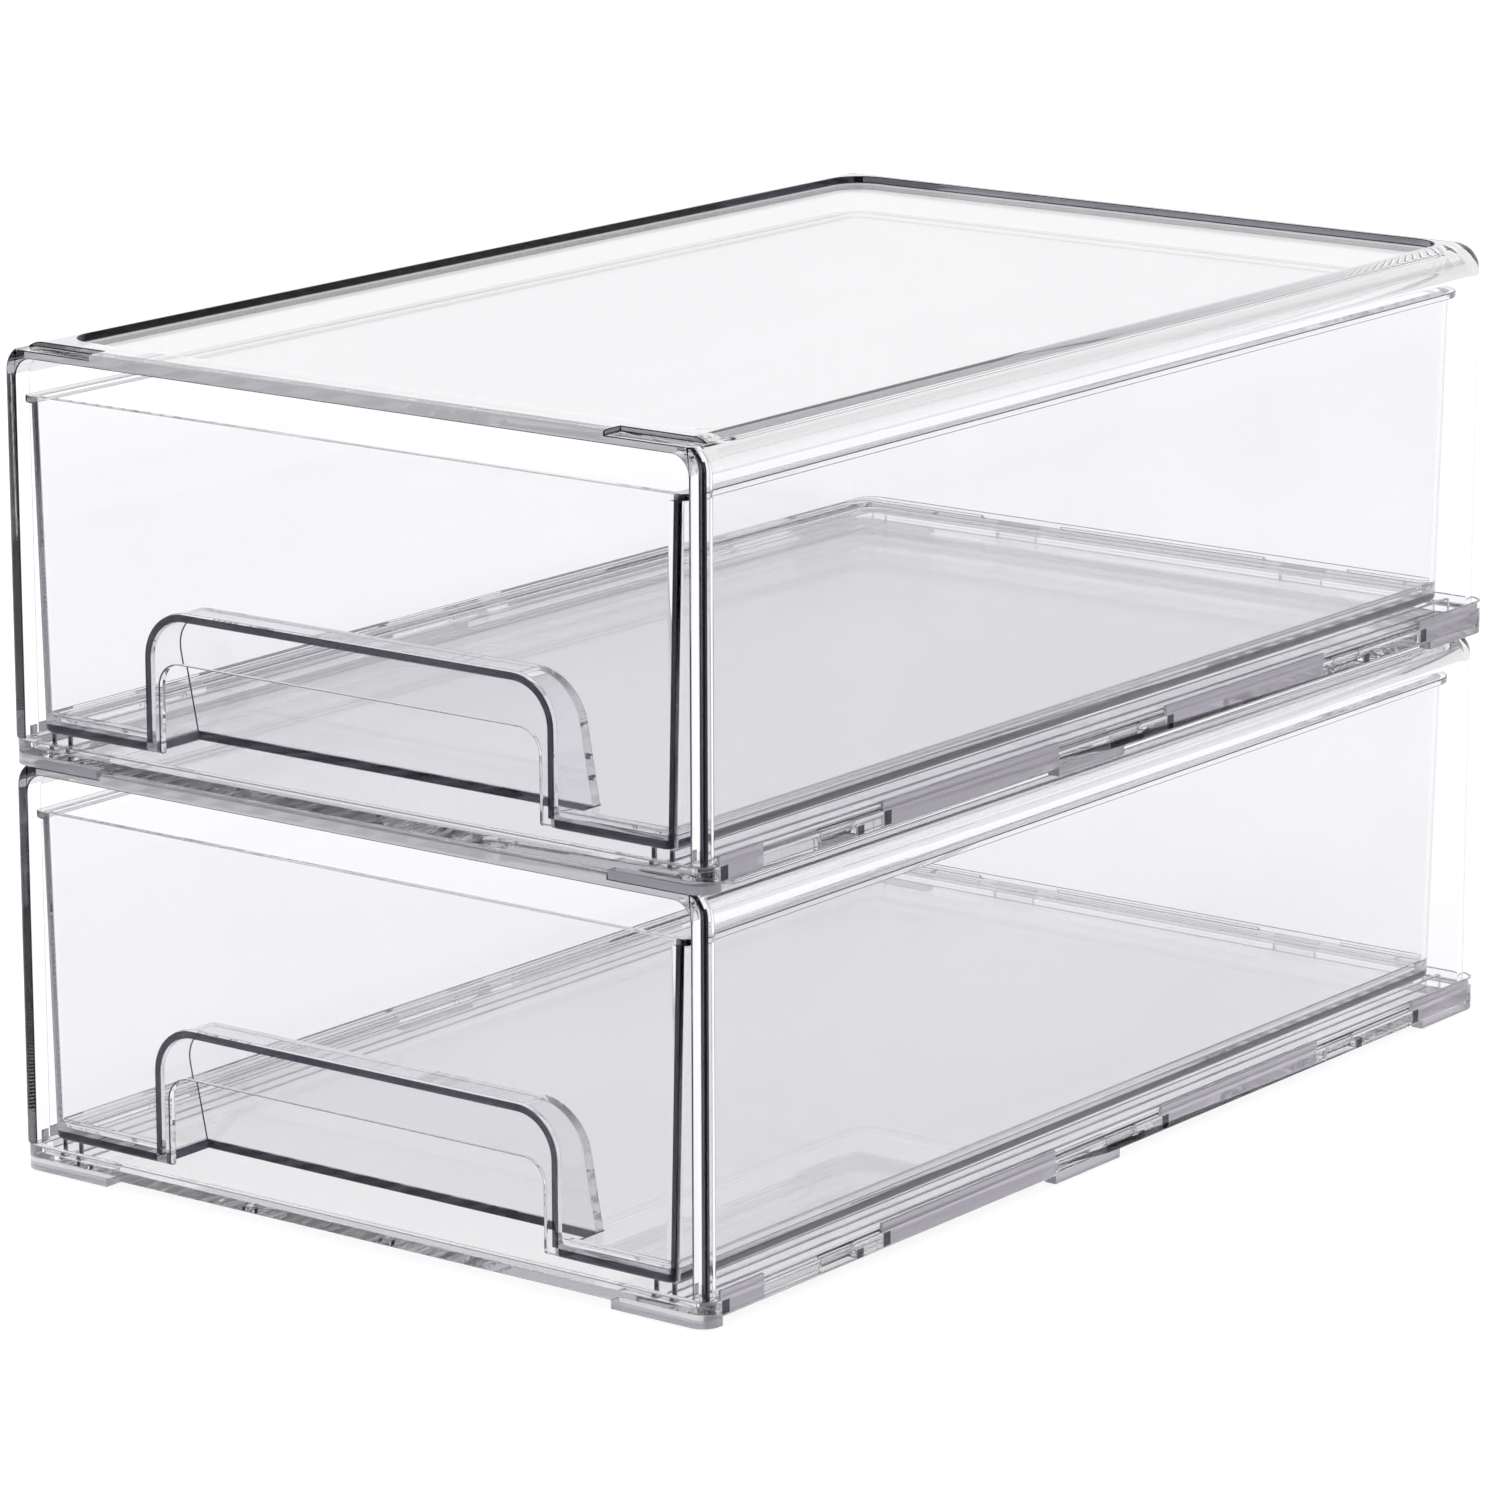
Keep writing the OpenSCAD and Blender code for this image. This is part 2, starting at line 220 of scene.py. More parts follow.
class Finish(bpy.types.PropertyGroup):
    """Colours and fine edge sizes of the clear plastic, with painted shade on edges and lugs and
    painted light on the top panel's front edge.
    """

    face: colour("Face colour", "Light that comes through a moulded face", "#F9F9FA")
    # Painted shade: the dark colour painted on edges, where clear plastic seen through a long stretch
    # looks dark
    edge: colour("Edge colour", "Light that comes out of a cut or moulded edge", "#14121C")
    # Painted shade: the violet grey painted on the lugs and feet, where thick clear plastic looks grey
    shade: colour("Shade colour", "Light that comes through the base's thick lugs", "#BAB5C0")
    # Painted light: the pale colour painted on the top panel's front edge, where light led along the
    # panel comes out
    rim: colour("Rim colour", "Light that the top panel leads out to its front edge", "#E4E3E8")
    body: colour("Body tint", "Colour that a long way through the plastic takes", "#9E9BA8")
    edge_round: length("Edge rounding", "Radius of the small moulded edges", 0.25)
    ripple: length("Ripple", "Depth of the faint waves in the moulded walls", 0.01)


def in_mm(group):
    """A property group's lengths in millimetres, under their own names."""
    return SimpleNamespace(**{key: getattr(group, key) / MM for key in group.__annotations__})


# ---------------------------------------------------------------- outlines, in millimetres

ARC_STEPS = 12


def arc(x, y, r, start):
    """A quarter turn of points, anticlockwise from a start angle in degrees."""
    angles = [math.radians(start + 90 * i / ARC_STEPS) for i in range(ARC_STEPS + 1)]
    return [(x + r * math.cos(a), y + r * math.sin(a)) for a in angles]


def plan_outline(half_front, half_back, front, back, r_front, r_back):
    """A tapered plan with rounded corners."""
    return (
        arc(half_back - r_back, back - r_back, r_back, 0)
        + arc(-half_back + r_back, back - r_back, r_back, 90)
        + arc(-half_front + r_front, front + r_front, r_front, 180)
        + arc(half_front - r_front, front + r_front, r_front, 270)
    )


def arch_outline(half, bottom, top, r):
    """An upright outline with rounded upper corners and a flat foot."""
    return (
        [(half, bottom)]
        + arc(half - r, top - r, r, 0)
        + arc(-half + r, top - r, r, 90)
        + [(-half, bottom)]
    )


def lift(outline, height):
    """A plan outline as points at a height."""
    return [(x, y, height) for x, y in outline]


def stand(outline, depth):
    """An upright outline as points at a depth."""
    return [(x, depth, z) for x, z in outline]


# ---------------------------------------------------------------- solids, in millimetres


def all_face(centre, normal):
    """The rule for a solid whose faces are all plain."""
    return FACE


def solid(name, mesh, rule):
    """An object for a closed mesh, with its faces turned out and given their slots by a rule."""
    work = bmesh.new()
    work.from_mesh(mesh)
    bmesh.ops.recalc_face_normals(work, faces=work.faces)
    for face in work.faces:
        face.material_index = rule(face.calc_center_median(), face.normal)
    work.to_mesh(mesh)
    work.free()
    for finish in FINISHES:
        mesh.materials.append(bpy.data.materials[finish])
    made = bpy.data.objects.new(name, mesh)
    bpy.context.scene.collection.objects.link(made)
    return made


def loft(name, rings, rule=all_face):
    """A closed solid through rings that all have the same number of points."""
    count = len(rings[0])
    mesh = bpy.data.meshes.new(name)
    points = [p for ring in rings for p in ring]
    faces = []
    for k in range(len(rings) - 1):
        for i in range(count):
            j = (i + 1) % count
            faces.append((k * count + i, k * count + j, (k + 1) * count + j, (k + 1) * count + i))
    faces.append(tuple(range(count)))
    faces.append(tuple(range((len(rings) - 1) * count, len(rings) * count)))
    mesh.from_pydata(points, [], faces)
    return solid(name, mesh, rule)


def slab(name, outline, low, high, rule=all_face):
    """A plan outline made solid between two heights."""
    return loft(name, [lift(outline, low), lift(outline, high)], rule)


def curtain(name, outline, near, far, rule=all_face):
    """An upright outline made solid between two depths."""
    return loft(name, [stand(outline, near), stand(outline, far)], rule)


def block(name, low, high, rule=all_face):
    """A box between two corners."""
    outline = [(low[0], low[1]), (high[0], low[1]), (high[0], high[1]), (low[0], high[1])]
    return slab(name, outline, low[2], high[2], rule)


def settle(piece):
    """Turns a piece's modifiers into plain mesh."""
    graph = bpy.context.evaluated_depsgraph_get()
    mesh = bpy.data.meshes.new_from_object(piece.evaluated_get(graph))
    old = piece.data
    piece.modifiers.clear()
    piece.data = mesh
    bpy.data.meshes.remove(old)


def combine(piece, other, operation):
    """Adds another solid to a piece, cuts it away or keeps what both share."""
    change = piece.modifiers.new(operation.lower(), "BOOLEAN")
    change.operation = operation
    change.solver = "MANIFOLD"
    change.object = other
    settle(piece)
    bpy.data.objects.remove(other)
    return piece


def cut(piece, other):
    return combine(piece, other, "DIFFERENCE")


def join(piece, other):
    return combine(piece, other, "UNION")


def share(piece, other):
    return combine(piece, other, "INTERSECT")


def merge_flats(piece):
    """Joins the triangles of each flat face, so that only real edges are left to round."""
    work = bmesh.new()
    work.from_mesh(piece.data)
    bmesh.ops.remove_doubles(work, verts=work.verts, dist=ON_PLANE)
    bmesh.ops.dissolve_limit(
        work, angle_limit=math.radians(0.3), verts=work.verts, edges=work.edges, delimit={"MATERIAL"}
    )
    work.to_mesh(piece.data)
    work.free()


def round_edges(piece, radius, painted_shade_slot):
    """Rounds the sharp edges, gives the rounding a slot of painted shade for dark edge lines, and drops
    edges of almost no length.
    """
    bevel = piece.modifiers.new("edges", "BEVEL")
    bevel.limit_method = "ANGLE"
    bevel.angle_limit = math.radians(SHARP_ANGLE)
    bevel.width = radius
    bevel.segments = 2
    bevel.material = painted_shade_slot
    bevel.use_clamp_overlap = False
    bevel.loop_slide = True
    settle(piece)
    work = bmesh.new()
    work.from_mesh(piece.data)
    bmesh.ops.dissolve_degenerate(work, edges=work.edges, dist=SHORTEST_EDGE)
    work.to_mesh(piece.data)
    work.free()


def smooth_normals(piece):
    """Smooths the curved faces and keeps flat ones flat: where faces meet, the larger decides."""
    mesh = piece.data
    mesh.shade_smooth()
    around = [[] for _ in mesh.vertices]
    for polygon in mesh.polygons:
        for index in polygon.vertices:
            around[index].append(polygon)
    normals = []
    for polygon in mesh.polygons:
        for index in polygon.vertices:
            total = Vector((0, 0, 0))
            for other in around[index]:
                if other.normal.dot(polygon.normal) > SMOOTH_COSINE:
                    total += other.normal * other.area ** 2
            normals.append(total.normalized() if total.length > TINY else polygon.normal)
    mesh.normals_split_custom_set(normals)


def to_metres(piece, rise):
    """Scales a finished millimetre mesh to metres, and raises it to its tier."""
    piece.data.transform(Matrix.Scale(MM, 4) @ Matrix.Translation((0, 0, rise)))


# ---------------------------------------------------------------- rows of equal blocks


def block_row_tree():
    """Geometry Nodes tree: equal blocks on points along a line, made real, with a material."""
    tree = bpy.data.node_groups.new("row of blocks", "GeometryNodeTree")
    face = tree.interface
    face.new_socket("Geometry", in_out="OUTPUT", socket_type="NodeSocketGeometry")
    for name, kind in (
        ("Count", "NodeSocketInt"),
        ("Start", "NodeSocketVector"),
        ("Step", "NodeSocketVector"),
        ("Size", "NodeSocketVector"),
        ("Material", "NodeSocketMaterial"),
    ):
        face.new_socket(name, in_out="INPUT", socket_type=kind)
    given = node(tree, "NodeGroupInput")
    line = node(tree, "GeometryNodeMeshLine", {
        "Count": (given, "Count"), "Start Location": (given, "Start"), "Offset": (given, "Step"),
    })
    cube = node(tree, "GeometryNodeMeshCube", {"Size": (given, "Size")})
    row = node(tree, "GeometryNodeInstanceOnPoints", {
        "Points": (line, "Mesh"), "Instance": (cube, "Mesh"),
    })
    real = node(tree, "GeometryNodeRealizeInstances", {"Geometry": (row, "Instances")})
    dressed = node(tree, "GeometryNodeSetMaterial", {
        "Geometry": (real, "Geometry"), "Material": (given, "Material"),
    })
    node(tree, "NodeGroupOutput", {"Geometry": (dressed, "Geometry")})
    return tree


def node(tree, kind, inputs=None, **settings):
    """Adds a node with its settings. An input is a value, or a node and the name of its output."""
    made = tree.nodes.new(kind)
    for key, value in settings.items():
        setattr(made, key, value)
    for name, value in (inputs or {}).items():
        if isinstance(value, tuple) and isinstance(value[0], bpy.types.Node):
            tree.links.new(value[0].outputs[value[1]], made.inputs[name])
        else:
            made.inputs[name].default_value = value
    return made


def block_row(name, count, start, step, size, rule=all_face):
    """A row of equal blocks as one closed solid object, in millimetres."""
    mesh = bpy.data.meshes.new(name)
    made = bpy.data.objects.new(name, mesh)
    bpy.context.scene.collection.objects.link(made)
    tree = bpy.data.node_groups.get("row of blocks") or block_row_tree()
    grow = made.modifiers.new("row", "NODES")
    grow.node_group = tree
    values = {"Count": count, "Start": start, "Step": step, "Size": size,
              "Material": bpy.data.materials[FINISHES[PAINTED_EDGE_SHADE]]}
    for item in tree.interface.items_tree:
        if item.in_out == "INPUT":
            grow[item.identifier] = values[item.name]
    settle(made)
    real = made.data.copy()
    bpy.data.objects.remove(made)
    real.materials.clear()
    return solid(name, real, rule)


# ---------------------------------------------------------------- materials


def clear_plastic(name, tint, face, body, ripple, scuff=0.05, clear=1.0):
    """Clear styrene moulding, polished in the mould, with IOR 1.57.

    Faint ripples 60 mm across bend what is seen through the walls a little, as moulded walls
    do. Flow marks make the plastic slightly greyer in soft streaks. A few fine scuffs, drawn
    2 mm apart so that they show, take the edge off the gloss. The tint goes on front faces only,
    and back faces keep the colour of the faces. On the edge and lug finishes the tint is painted
    shade, dark lines and a grey fill where real clear plastic looks dark or grey through its
    length; on the rim finish it is painted light, a pale fill for light led along the panel.
    """
    mat = bpy.data.materials.new(name)
    mat.use_nodes = True
    tree = mat.node_tree
    tree.nodes.clear()
    place = node(tree, "ShaderNodeTexCoord")
    long = node(tree, "ShaderNodeMapping", {"Vector": (place, "Object"), "Scale": (1.0, 0.25, 1.0)})
    flow = node(tree, "ShaderNodeTexNoise", {
        "Vector": (long, "Vector"), "Scale": 1 / FLOW_SIZE, "Detail": 3.0,
    })
    streak = node(tree, "ShaderNodeMapRange", {
        "Value": (flow, "Fac"), "From Min": 0.35, "From Max": 0.75, "To Min": 0.0, "To Max": 0.05,
    })
    grey = node(tree, "ShaderNodeMix", {"Factor": (streak, "Result")}, data_type="RGBA")
    grey.inputs["A"].default_value = (*tint, 1.0)
    grey.inputs["B"].default_value = (*body, 1.0)
    # Painted shade and light: the tint shows on front faces only, and back faces take the colour of the
    # faces
    side = node(tree, "ShaderNodeNewGeometry")
    painted_front_tint = node(tree, "ShaderNodeMix", {"Factor": (side, "Backfacing")}, data_type="RGBA")
    tree.links.new(grey.outputs["Result"], painted_front_tint.inputs["A"])
    painted_front_tint.inputs["B"].default_value = (*face, 1.0)
    scuffs = node(tree, "ShaderNodeTexNoise", {
        "Vector": (place, "Object"), "Scale": 1 / SCUFF_SIZE, "Detail": 2.0,
    })
    worn = node(tree, "ShaderNodeMapRange", {
        "Value": (scuffs, "Fac"), "From Min": 0.62, "From Max": 0.8, "To Min": 0.0, "To Max": scuff,
    })
    waves = node(tree, "ShaderNodeTexNoise", {
        "Vector": (place, "Object"), "Scale": 1 / WAVE_SIZE, "Detail": 1.0,
    })
    bump = node(tree, "ShaderNodeBump", {"Height": (waves, "Fac"), "Distance": ripple, "Strength": 1.0})
    shader = node(tree, "ShaderNodeBsdfPrincipled", {
        "Base Color": (painted_front_tint, "Result"), "Roughness": (worn, "Result"), "Normal": (bump, "Normal"),
    })
    shader.inputs["IOR"].default_value = STYRENE_IOR
    shader.inputs["Specular Tint"].default_value = GLOSS_TINT
    # Below 1, part of the surface is diffuse in the tint: painted shade on the lugs and painted light
    # on the rim
    shader.inputs["Transmission Weight"].default_value = clear
    depth = node(tree, "ShaderNodeVolumeAbsorption")
    depth.inputs["Color"].default_value = (*body, 1.0)
    depth.inputs["Density"].default_value = BODY_DENSITY
    node(tree, "ShaderNodeOutputMaterial", {"Surface": (shader, "BSDF"), "Volume": (depth, "Volume")})


class BIN_OT_materials(bpy.types.Operator):
    """Makes the clear plastic finishes"""

    bl_idname = "fridge_bin.materials"
    bl_label = "Clear plastic finishes"

    def execute(self, context):
        look = context.scene.bin_finish
        # Moulded faces: nearly colourless, so that the walls show by their edges alone
        clear_plastic(FINISHES[FACE], look.face, look.face, look.body, look.ripple)
        # Painted shade on edges: almost black lines round every part, where edges seen through a long
        # stretch of plastic look dark
        clear_plastic(FINISHES[PAINTED_EDGE_SHADE], look.edge, look.face, look.body, 0.0, scuff=0.0)
        # Painted shade on lugs and feet: an even violet grey fill, partly diffuse, where thick plastic
        # looks grey
        clear_plastic(FINISHES[SHADE], look.shade, look.face, look.body, look.ripple, clear=0.6)
        # Painted light on the top panel's front edge: a pale, partly diffuse fill, where light led
        # along the panel comes out pale
        clear_plastic(FINISHES[PAINTED_RIM_LIGHT], look.rim, look.face, look.body, 0.0, scuff=0.0, clear=0.5)
        return {"FINISHED"}


# ---------------------------------------------------------------- pieces


def housing_half(at, house, depth):
    """Half the housing's width at a depth."""
    return at.half - house.taper * (depth - at.front) / (at.back - at.front)


def frame_rule(at, house):
    """Painted shade on the rounding at the sides of the opening's frame, painted light on its top, the
    rest plain.
    """
    def rule(centre, normal):
        if centre.y > at.front + house.front_round or not -0.9 < normal.y < -0.15:
            return FACE
        return PAINTED_EDGE_SHADE if abs(normal.x) > 0.12 else PAINTED_RIM_LIGHT
    return rule


def sleeve(name, at, house, inset, front, back, top, bottom, r, front_r):
    """The housing's outer or inner shape: rounded shoulders, back edges and front edge."""
    rings = []
    for i in range(5):
        turn = math.radians(90 * i / 4)
        shrink = front_r * (1 - math.cos(turn))
        rings.append((front + front_r * (1 - math.sin(turn)), shrink, shrink * TOP_SHARE))
    rings.reverse()
    if front_r == 0:
        rings = [(front, 0, 0)]
    for i in range(ARC_STEPS):
        turn = math.radians(90 * i / ARC_STEPS)
        shrink = r * (1 - math.cos(turn))
        rings.append((back - r + r * math.sin(turn), shrink, shrink))
    outlines = []
    for depth, shrink, drop in rings:
        half = housing_half(at, house, depth) - inset - shrink
        outlines.append(stand(arch_outline(half, bottom, top - drop, max(r - shrink, 0.2)), depth))
    return loft(name, outlines, frame_rule(at, house))


def base_outline(at, house, base, inset=0.0, front_inset=None, radius=None):
    """The base's plan outline, moved in from its edge."""
    ahead = inset if front_inset is None else front_inset
    r = base.radius if radius is None else radius
    half_front = at.base_half - inset
    narrowing = house.taper * (at.base_back - at.base_front) / (at.back - at.front)
    half_back = at.base_half - narrowing - inset
    return plan_outline(half_front, half_back, at.base_front + ahead, at.base_back - inset, r, r)


def upright(normal):
    return abs(normal.z) < 0.6


def front_feet(at, house, base, low, high, gap=0.0):
    """The two front feet, or with a gap the notches for them in a housing's rim."""
    both = slab("front feet", base_outline(at, house, base), low, high, foot_rule)
    cells = None
    for side in (-1, 1):
        reach = at.base_half - base.foot_length - gap
        x0, x1 = sorted((side * reach, side * (at.base_half + 1)))
        near = (x0, at.base_front - 1, low - 1)
        cell = block("cell", near, (x1, at.base_front + base.foot_width + gap, high + 1), foot_rule)
        cells = cell if cells is None else join(cells, cell)
    return share(both, cells)


def side_feet(at, house, base, low, high):
    """The narrow feet along the sides and round the back corners."""
    ring = slab("side feet", base_outline(at, house, base), low, high, foot_rule)
    inner = base_outline(at, house, base, base.side_foot_width,
                         radius=base.radius - base.side_foot_width)
    cut(ring, slab("inside", inner, low - 1, high + 1, foot_rule))
    middle = -base.shift - (at.lug_pitch - base.lug_length) / 2 + base.foot_length / 2
    back = at.base_back - base.foot_length
    cells = None
    for side in (-1, 1):
        for inset, y0, y1 in (
            (2 * base.foot_width, middle - base.foot_length / 2, middle + base.foot_length / 2),
            (base.foot_length + house.taper, back, at.base_back + 1),
        ):
            x0, x1 = sorted((side * (at.base_half - inset), side * (at.base_half + 1)))
            cell = block("cell", (x0, y0, low - 1), (x1, y1, high + 1), foot_rule)
            cells = cell if cells is None else join(cells, cell)
    return share(ring, cells)


def foot_rule(centre, normal):
    """Painted shade: a foot's upright faces are painted grey, as a foot seen through its length looks.
    """
    return SHADE if upright(normal) else FACE


def tongues(at, house, grow, low, high):
    """Snap tongues along the sides and the back, or with grow the slots that they enter."""
    thick = house.tongue_thickness + 2 * grow
    long = house.tongue_length + 2 * grow
    rows = []
    for side in (-1, 1):
        lean = -side * house.taper * house.tongue_pitch / (at.back - at.front)
        for count, depth in ((2, -house.tongue_pitch), (1, house.rear_tongue)):
            start = (side * (housing_half(at, house, depth) - house.wall / 2), depth, (low + high) / 2)
            rows.append(block_row("side tongues", count, start, (lean, house.tongue_pitch, 0),
                                  (thick, long, high - low)))
    start = (-house.back_tongue, at.back - house.wall / 2, (low + high) / 2)
    step = (2 * house.back_tongue, 0, 0)
    rows.append(block_row("back tongues", 2, start, step, (long, thick, high - low)))
    return rows


def side_lugs(at, base):
    """Where the lugs along a side start and end: two in the middle and one at each end."""
    lugs = []
    for k in (-0.5, 0.5):
        middle = k * at.lug_pitch - base.shift
        lugs.append((middle - base.lug_length / 2, middle + base.lug_length / 2))
    space = at.lug_pitch - base.lug_length
    front = (at.base_front + base.radius, lugs[0][0] - space)
    back = (lugs[1][1] + space, at.base_back - base.radius)
    return [front, *lugs, back]


def lug_cells(at, base, house):
    """Plan boxes that the lugs lie in: those along the sides, two back corners and the middle back."""
    wide = at.base_half + 1
    near = at.base_half - 6
    cells = []
    for side in (-1, 1):
        for y0, y1 in side_lugs(at, base):
            x0, x1 = sorted((side * near, side * wide))
            cells.append((x0, y0, x1, y1))
        x0, x1 = sorted((side * (house.back_tongue + house.tongue_length), side * wide))
        cells.append((x0, at.back - house.shoulder, x1, at.base_back + 1))
    half = house.back_tongue - house.tongue_length
    cells.append((-half, at.back - house.wall, half, at.base_back + 1))
    return cells


def end_rule(centre, normal):
    """Painted shade: a rail's front and back ends are painted dark, as a rail seen through its length
    looks.
    """
    return PAINTED_EDGE_SHADE if abs(normal.y) > 0.5 else FACE


def make_base(at, house, base):
    """The footed plate with its curb, lugs, slots and rails."""
    low = base.foot
    plate_top = low + base.plate
    curb_top = low + base.curb
    piece = slab("base", base_outline(at, house, base), low, curb_top)
    hollow = base_outline(at, house, base, base.curb_width, base.apron, base.radius / 2)
    cut(piece, slab("hollow", hollow, plate_top, curb_top + 1))
    lugs = slab("lugs", base_outline(at, house, base), curb_top - 0.5, at.lug_top)
    inside = base_outline(at, house, base, base.lug, -1.0, base.radius - base.lug)
    cut(lugs, slab("inside", inside, low, at.lug_top + 1))
    cells = None
    for x0, y0, x1, y1 in lug_cells(at, base, house):
        cell = block("cell", (x0, y0, low), (x1, y1, at.lug_top + 1))
        cells = cell if cells is None else join(cells, cell)
    join(piece, share(lugs, cells))
    join(piece, front_feet(at, house, base, 0, low + 0.5))
    join(piece, side_feet(at, house, base, 0, low + 0.5))
    outer = at.base_half - house.taper - base.curb_width - base.rail_gap
    rail_front = at.base_front + base.apron + 1
    rail_back = at.base_back - base.curb_width - 1
    size = (base.rail, rail_back - rail_front, base.rail_height + 0.5)
    middle = (rail_front + rail_back) / 2
    height = plate_top + base.rail_height - size[2] / 2
    for side in (-1, 1):
        start = (side * outer, middle, height)
        join(piece, block_row("rails", 2, start, (-side * base.rail_pitch, 0, 0), size, end_rule))
    slot_low = low + base.slot_floor
    for slots in tongues(at, house, base.slot_play, slot_low, at.lug_top + 1):
        cut(piece, slots)
    side_places = (-house.tongue_pitch, 0, house.rear_tongue)
    inside = base_outline(at, house, base, at.base_half - at.half + house.wall / 2)
    reach = house.tongue_length / 2 + base.slot_play
    for place in side_places:
        window = block("latch windows", (-at.base_half - 1, place - reach, slot_low),
                       (at.base_half + 1, place + reach, slot_low + base.latch))
        cut(piece, cut(window, slab("inside", inside, low, at.lug_top)))
    paint_base_shade(piece, at, house, base, side_places)
    return piece


def paint_base_shade(piece, at, house, base, side_places):
    """Painted shade on the base: the lugs painted grey as thick plastic, with painted dark ends beside
    the lugs and the latch windows.
    """
    low, wide = base.foot, at.base_half + 1
    curb_top = low + base.curb
    for side in (-1, 1):
        near = at.base_half - house.taper - base.lug - 0.1
        for y0, y1 in side_lugs(at, base):
            paint_shade_box(piece, side, near, wide, y0, y1, low + 0.4, at.lug_top - 0.3, SHADE)
            paint_shade_box(piece, side, near, wide, y0 + 0.6, y0 + 3.4, low + 0.5, curb_top - 0.3, PAINTED_EDGE_SHADE)
        for place in side_places:
            end = place + house.tongue_length / 2
            paint_shade_box(piece, side, near, wide, end + 0.6, end + 3.2, low + 0.2, low + 2.5, PAINTED_EDGE_SHADE)


def paint_shade_box(piece, side, near, far, y0, y1, z0, z1, slot_number):
    """Gives the upright side faces inside a box a slot of painted shade of their own, split off along
    its edges.
    """
    x0, x1 = sorted((side * near, side * far))
    work = bmesh.new()
    work.from_mesh(piece.data)

    def inside(face, slack):
        c = face.calc_center_median()
        if slack:
            lows = [min(v.co[k] for v in face.verts) for k in range(3)]
            highs = [max(v.co[k] for v in face.verts) for k in range(3)]
            return all(l < b and h > a for l, h, a, b in zip(lows, highs, (x0, y0, z0), (x1, y1, z1)))
        return x0 < c.x < x1 and y0 < c.y < y1 and z0 < c.z < z1

    for axis, value in ((1, y0), (1, y1), (2, z0), (2, z1)):
        faces = [f for f in work.faces if abs(f.normal.x) > 0.8 and inside(f, True)]
        parts = set(faces)
        for f in faces:
            parts.update(f.edges)
            parts.update(f.verts)
        point, normal = Vector((0, 0, 0)), Vector((0, 0, 0))
        point[axis], normal[axis] = value, 1
        bmesh.ops.bisect_plane(work, geom=list(parts), plane_co=point, plane_no=normal, dist=ON_PLANE)
    for f in work.faces:
        if abs(f.normal.x) > 0.8 and inside(f, False):
            f.material_index = slot_number
    work.to_mesh(piece.data)
    work.free()


def recess_rule(centre, normal):
    """The recess walls: painted shade, dark along the sides and half dark at the back, plain in front.
    """
    if abs(normal.z) > 0.5:
        return FACE
    if abs(normal.x) > 0.5:
        return PAINTED_EDGE_SHADE
    return SHADE if normal.y > 0 else FACE


def paint_rim_light(piece, at, house):
    """Gives the frame's front face between the rounded corners at the top a slot of its own, with
    painted light.
    """
    work = bmesh.new()
    work.from_mesh(piece.data)

    def ahead():
        near = at.front + 0.1
        return [f for f in work.faces if f.normal.y < -0.9 and f.calc_center_median().y < near]

    straight = at.half - house.shoulder
    for side in (-1, 1):
        faces = ahead()
        parts = {v for f in faces for v in f.verts} | {e for f in faces for e in f.edges} | set(faces)
        bmesh.ops.bisect_plane(work, geom=list(parts), plane_co=(side * straight, 0, 0),
                               plane_no=(1, 0, 0), dist=ON_PLANE)
    for f in ahead():
        centre = f.calc_center_median()
        if abs(centre.x) < straight and centre.z > at.top - house.frame_height:
            f.material_index = PAINTED_RIM_LIGHT
    work.to_mesh(piece.data)
    work.free()


def make_housing(at, house, base):
    """The sleeve: sides, back and top in one moulding, with the frame round its opening."""
    bottom = base.foot + base.curb + house.seat
    recess = at.top - house.recess_depth
    piece = sleeve("housing", at, house, 0, at.front, at.back, at.top, bottom,
                   house.shoulder, house.front_round)
    inner_front = at.front + house.frame_depth
    cut(piece, sleeve("inside", at, house, house.wall, inner_front, at.back - house.wall,
                      recess - house.wall, bottom - 1, house.shoulder - house.wall, 0))
    opening = arch_outline(at.half - house.frame_width, bottom - 1, at.top - house.frame_height,
                           house.opening_radius)
    cut(piece, curtain("opening", opening, at.front - 1, inner_front + 1))
    rim = at.half - house.recess_side
    plan = plan_outline(rim, rim - house.taper, at.front + house.recess_front,
                        at.back - house.recess_side, house.recess_radius, house.recess_radius)
    cut(piece, slab("recess", plan, recess, at.top + 1, recess_rule))
    cut(piece, front_feet(at, house, base, at.top - house.nest, at.top + 1, 0.4))
    for row in tongues(at, house, 0, at.tongue_bottom, bottom + 0.5):
        join(piece, row)
    paint_rim_light(piece, at, house)
    return piece


def drawer_half(at, drawer, height):
    """Half the width of the drawer's body at a height."""
    lean = drawer.lean * (at.drawer_top - height) / (at.drawer_top - at.drawer_bottom)
    return at.rim_half - drawer.rim - lean


def tray(name, at, house, drawer, inset, bottom, top, r, rule=all_face):
    """The tray's outer or inner shape, with a rounded edge round its floor."""
    rings = []
    steps = 4
    for i in range(steps + 1):
        turn = math.radians(90 * i / steps)
        rings.append((bottom + r * (1 - math.sin(turn)), r * (1 - math.cos(turn))))
    rings.reverse()
    rings.append((bottom + drawer.floor, 0))
    rings.append((top, 0))
    outlines = []
    for height, shrink in rings:
        half = drawer_half(at, drawer, height) - inset - shrink
        plan = plan_outline(half, half - house.taper, at.drawer_front + inset + shrink,
                            at.drawer_back - drawer.rim - inset - shrink,
                            max(drawer.front_radius - inset, 0.5), drawer.back_radius - inset)
        outlines.append(lift(plan, height))
    return loft(name, outlines, rule)


